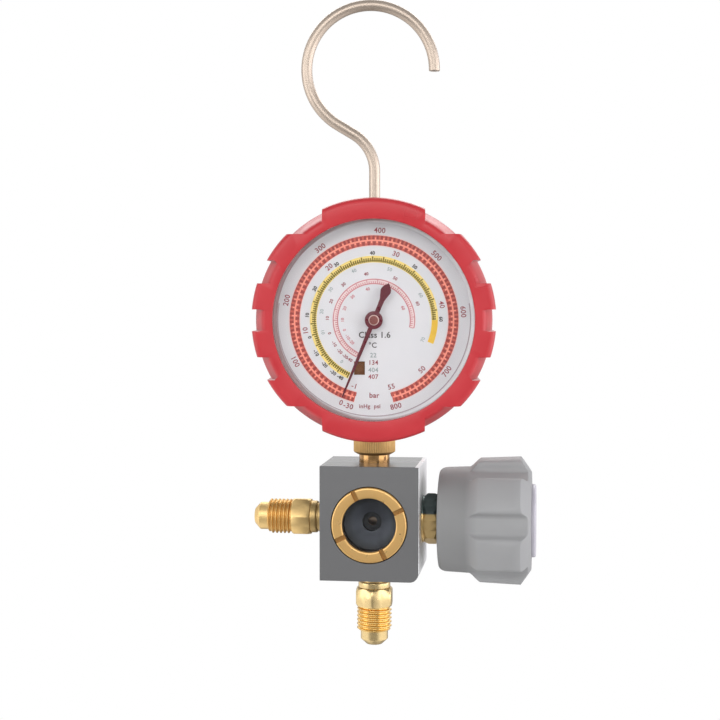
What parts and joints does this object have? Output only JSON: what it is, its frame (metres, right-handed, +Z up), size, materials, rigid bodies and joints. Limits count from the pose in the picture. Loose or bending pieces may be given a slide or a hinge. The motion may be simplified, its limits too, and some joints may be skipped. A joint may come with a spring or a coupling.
{
  "type": "refrigerant pressure gauge with shut-off valve",
  "caption": "Dial pressure gauge in a rubber boot with a hanging hook, on a metal valve block with a sight glass, flare ports and a grip knob.",
  "frame": {"origin": "on the gauge stem axis, at the thread shoulder of the bottom flare port", "axes": "+Z up along the stem, -Y is the front with the dial, +X is the knob side"},
  "size_m": [0.0898, 0.0406, 0.2042],
  "materials": {
    "boot_rubber": "satin moulded red",
    "block_aluminium": "fine milled, clear anodised",
    "brass": "turned, bright",
    "hook_wire": "plated wire, satin",
    "steel": "turned",
    "case_steel": "dark paint",
    "bezel_metal": "polished",
    "spacer_metal": "smooth, bright",
    "lens_clear": "clear, flat",
    "sight_glass": "clear, flat",
    "dial_white": "satin print",
    "pointer_dark": "dark maroon, satin",
    "pointer_bush_metal": "dull",
    "seal_black": "matte",
    "seal_white": "matte, slippery plastic",
    "bronze": "spring bronze, dull",
    "knob_grey": "fine satin grain",
    "knob_cap_grey": "smooth satin"
  },
  "bodies": {
    "gauge_and_block": {"valve_block": "block_aluminium", "left_port": "brass", "bottom_port": "brass", "port_seals": "seal_black", "neck_adapter": "brass", "knurled_collar": "brass", "stem_seal": "seal_white", "gauge_socket": "brass", "gauge_case": "case_steel", "case_screws": "steel", "relief_plug": "seal_black", "rubber_boot": "boot_rubber", "bezel_ring": "bezel_metal", "lens_gasket": "seal_black", "lens": "lens_clear", "spacer_ring": "spacer_metal", "dial": "dial_white", "back_plate": "brass", "front_plate": "brass", "pillars": "brass", "pillar_screws": "steel", "movement_screws": "steel", "bourdon_tube": "bronze", "hairspring": "bronze", "hairspring_stud": "brass", "sight_ring": "brass", "sight_lens": "sight_glass", "sight_seal": "seal_white", "bonnet": "brass", "bonnet_seal": "seal_black", "gland_nut": "brass", "packing": "seal_white"},
    "pointer_group": {"pointer_arbor": "steel", "pointer": "pointer_dark", "pointer_bush": "pointer_bush_metal", "hairspring_collet": "brass"},
    "sector": {"sector_gear": "brass", "sector_shaft": "steel"},
    "tube_end": {"tube_tip": "brass"},
    "link_bar": {"link": "brass"},
    "zero_adjuster": {"zero_screw": "steel"},
    "hook_group": {"hook": "hook_wire", "hook_nut": "steel", "hook_washer": "steel"},
    "piston_group": {"valve_piston": "brass", "seat_disc": "seal_white", "piston_clip": "steel"},
    "knob_group": {"valve_stem": "brass", "knob": "knob_grey", "knob_insert": "brass", "knob_screw": "steel", "knob_cap": "knob_cap_grey"}
  },
  "joints": [
    {"name": "pointer_turn", "type": "hinge", "parent": "gauge_and_block", "child": "pointer_group", "pos_m": [0, 0, 0.0914], "axis": [-0.0993, 0.9951, 0], "range_deg": [-8.3, 324], "deforming": ["hairspring"]},
    {"name": "sector_turn", "type": "hinge", "parent": "gauge_and_block", "child": "sector", "pos_m": [0.00997, -0.00433, 0.07556], "axis": [-0.0993, 0.9951, 0], "range_deg": [-32.6, 1.03]},
    {"name": "tube_flex", "type": "hinge", "parent": "gauge_and_block", "child": "tube_end", "pos_m": [-0.00183, 0.00364, 0.09799], "axis": [-0.0993, 0.9951, 0], "range_deg": [-6.75, 0.37], "deforming": ["bourdon_tube"]},
    {"name": "link_turn", "type": "hinge", "parent": "tube_end", "child": "link_bar", "pos_m": [0.01844, -0.00248, 0.07568], "axis": [-0.0993, 0.9951, 0], "range_deg": [-0.35, 6.1]},
    {"name": "zero_screw_turn", "type": "hinge", "parent": "gauge_and_block", "child": "zero_adjuster", "pos_m": [-0.00369, -0.00841, 0.07641], "axis": [-0.0993, 0.9951, 0], "range_deg": [-180, 180]},
    {"name": "hook_swivel", "type": "hinge", "parent": "gauge_and_block", "child": "hook_group", "pos_m": [0, 0, 0.1247], "axis": [0, 0, 1], "continuous": true},
    {"name": "valve_travel", "type": "slide", "parent": "gauge_and_block", "child": "piston_group", "axis": [1, 0, 0], "range_m": [0, 0.004]},
    {"name": "knob_turn", "type": "hinge", "parent": "piston_group", "child": "knob_group", "pos_m": [0.035, 0, 0.0282], "axis": [1, 0, 0], "range_deg": [0, 1440.5]}
  ],
  "couplings": [
    {"joint": "sector_turn", "follows": "pointer_turn", "ratio": -0.1},
    {"joint": "tube_flex", "follows": "pointer_turn", "ratio": -0.0202},
    {"joint": "link_turn", "follows": "pointer_turn", "ratio": 0.0182},
    {"joint": "knob_turn", "follows": "valve_travel", "rad_per_m": 6283.2}
  ]
}
